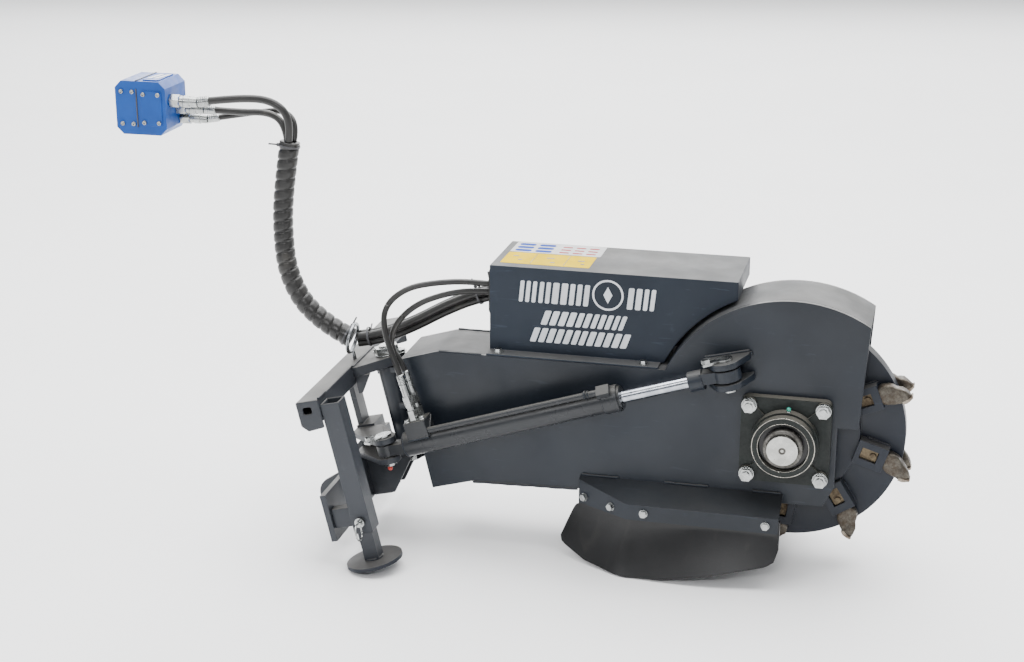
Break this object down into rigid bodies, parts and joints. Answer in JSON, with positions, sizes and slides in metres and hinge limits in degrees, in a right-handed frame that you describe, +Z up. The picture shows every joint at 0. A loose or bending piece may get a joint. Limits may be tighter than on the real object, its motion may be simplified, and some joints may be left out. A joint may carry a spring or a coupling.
{
  "type": "stump grinder attachment",
  "caption": "Hydraulic stump grinder attachment for a compact loader: leaning hitch, swing arm on a vertical pivot, side cylinder, belt-driven toothed wheel, chip flaps and a park leg.",
  "frame": {"origin": "middle of the two locking bores of the loader hitch, on their common axis", "axes": "+X forward from the hitch to the cutter wheel, +Y to the belt side, away from the swing cylinder, +Z up with the arm level"},
  "size_m": [1.6304, 0.585, 0.923],
  "materials": {
    "paint": "semi-gloss anthracite paint",
    "wheel_paint": "satin dark blue-grey paint",
    "cast": "painted casting",
    "zinc": "bright zinc plate",
    "steel": "machined steel",
    "chrome": "hard chrome",
    "tooth_steel": "worn, stained steel",
    "clamp_steel": "tan passivated steel",
    "rubber": "matt black rubber",
    "hose": "black hydraulic hose",
    "blue": "blue coupler body",
    "bronze": "bronze bush"
  },
  "bodies": {
    "hitch": {"hitch_top_beam": "paint", "hitch_post": "paint", "hitch_cross_plate": "paint", "locking_cheeks": "paint", "upper_pivot_bracket": "paint", "lower_pivot_bracket": "paint", "pivot_pin": "steel", "pivot_fasteners": "zinc", "cylinder_base_clevis": "paint", "base_pin": "zinc", "leg_outer_tube": "paint", "hose_guide_ring": "zinc", "hose_sleeve": "hose", "tail_hose_1": "hose", "tail_hose_2": "hose", "tail_hose_3": "hose", "coupler_block": "blue"},
    "leg": {"leg_inner_tube": "paint", "leg_foot_plate": "paint"},
    "leg_lock": {"leg_lock_pin": "zinc"},
    "arm": {"arm_side_plate_near": "paint", "arm_side_plate_far": "paint", "arm_top_plate": "paint", "arm_bottom_plate": "paint", "arm_pivot_tube": "paint", "pivot_bushes": "bronze", "wheel_guard": "paint", "motor_cover": "paint", "panel_bolts": "zinc", "valve_block": "steel", "hydraulic_motor": "cast", "motor_bracket": "paint", "belt_case": "paint", "drive_belts": "rubber", "bearing_housings": "cast", "bearing_bolts": "zinc", "rod_clevis_bracket": "paint", "rod_clevis_pin": "zinc", "flap_bracket_near": "paint", "flap_bracket_far": "paint", "flap_near": "rubber", "flap_far": "rubber", "supply_hoses": "hose", "cylinder_hoses": "hose"},
    "barrel": {"cylinder_barrel": "paint", "cylinder_gland": "paint", "feed_pipe": "paint", "port_block": "paint", "port_fittings": "zinc"},
    "rod": {"cylinder_rod": "chrome", "rod_eye": "paint"},
    "cutter": {"cutter_shaft": "steel", "bearing_inserts": "steel", "cutter_disc": "wheel_paint", "tooth_holders": "wheel_paint", "tooth_clamps": "clamp_steel", "cutter_teeth": "tooth_steel", "driven_pulley": "cast"},
    "motor": {"motor_pulley": "cast"}
  },
  "joints": [
    {"name": "arm_swing", "type": "hinge", "parent": "hitch", "child": "arm", "pos_m": [0.0943, 0, 0.22832], "axis": [-0.2334, 0, 0.9724], "range_deg": [-20, 20], "deforming": ["supply_hoses", "cylinder_hoses"]},
    {"name": "barrel_pivot", "type": "hinge", "parent": "hitch", "child": "barrel", "pos_m": [0.11515, -0.115, 0.10724], "axis": [-0.2334, 0, 0.9724], "range_deg": [-20, 20]},
    {"name": "rod_slide", "type": "slide", "parent": "barrel", "child": "rod", "axis": [0.9516, 0, 0.3072], "range_m": [-0.04, 0.04]},
    {"name": "cutter_spin", "type": "hinge", "parent": "arm", "child": "cutter", "pos_m": [0.92031, 0, 0.19332], "axis": [0, 1, 0], "continuous": true},
    {"name": "motor_spin", "type": "hinge", "parent": "arm", "child": "motor", "pos_m": [0.5903, 0, 0.39832], "axis": [0, 1, 0], "continuous": true},
    {"name": "leg_slide", "type": "slide", "parent": "hitch", "child": "leg", "axis": [-0.2334, 0, 0.9724], "range_m": [-0.15, 0.05]},
    {"name": "leg_pin_pull", "type": "slide", "parent": "hitch", "child": "leg_lock", "axis": [0, -1, 0], "range_m": [0, 0.03]}
  ],
  "couplings": [
    {"joint": "barrel_pivot", "follows": "arm_swing", "ratio": 0.99},
    {"joint": "rod_slide", "follows": "arm_swing", "m_per_rad": 0.1118},
    {"joint": "motor_spin", "follows": "cutter_spin", "ratio": 1.3778}
  ]
}
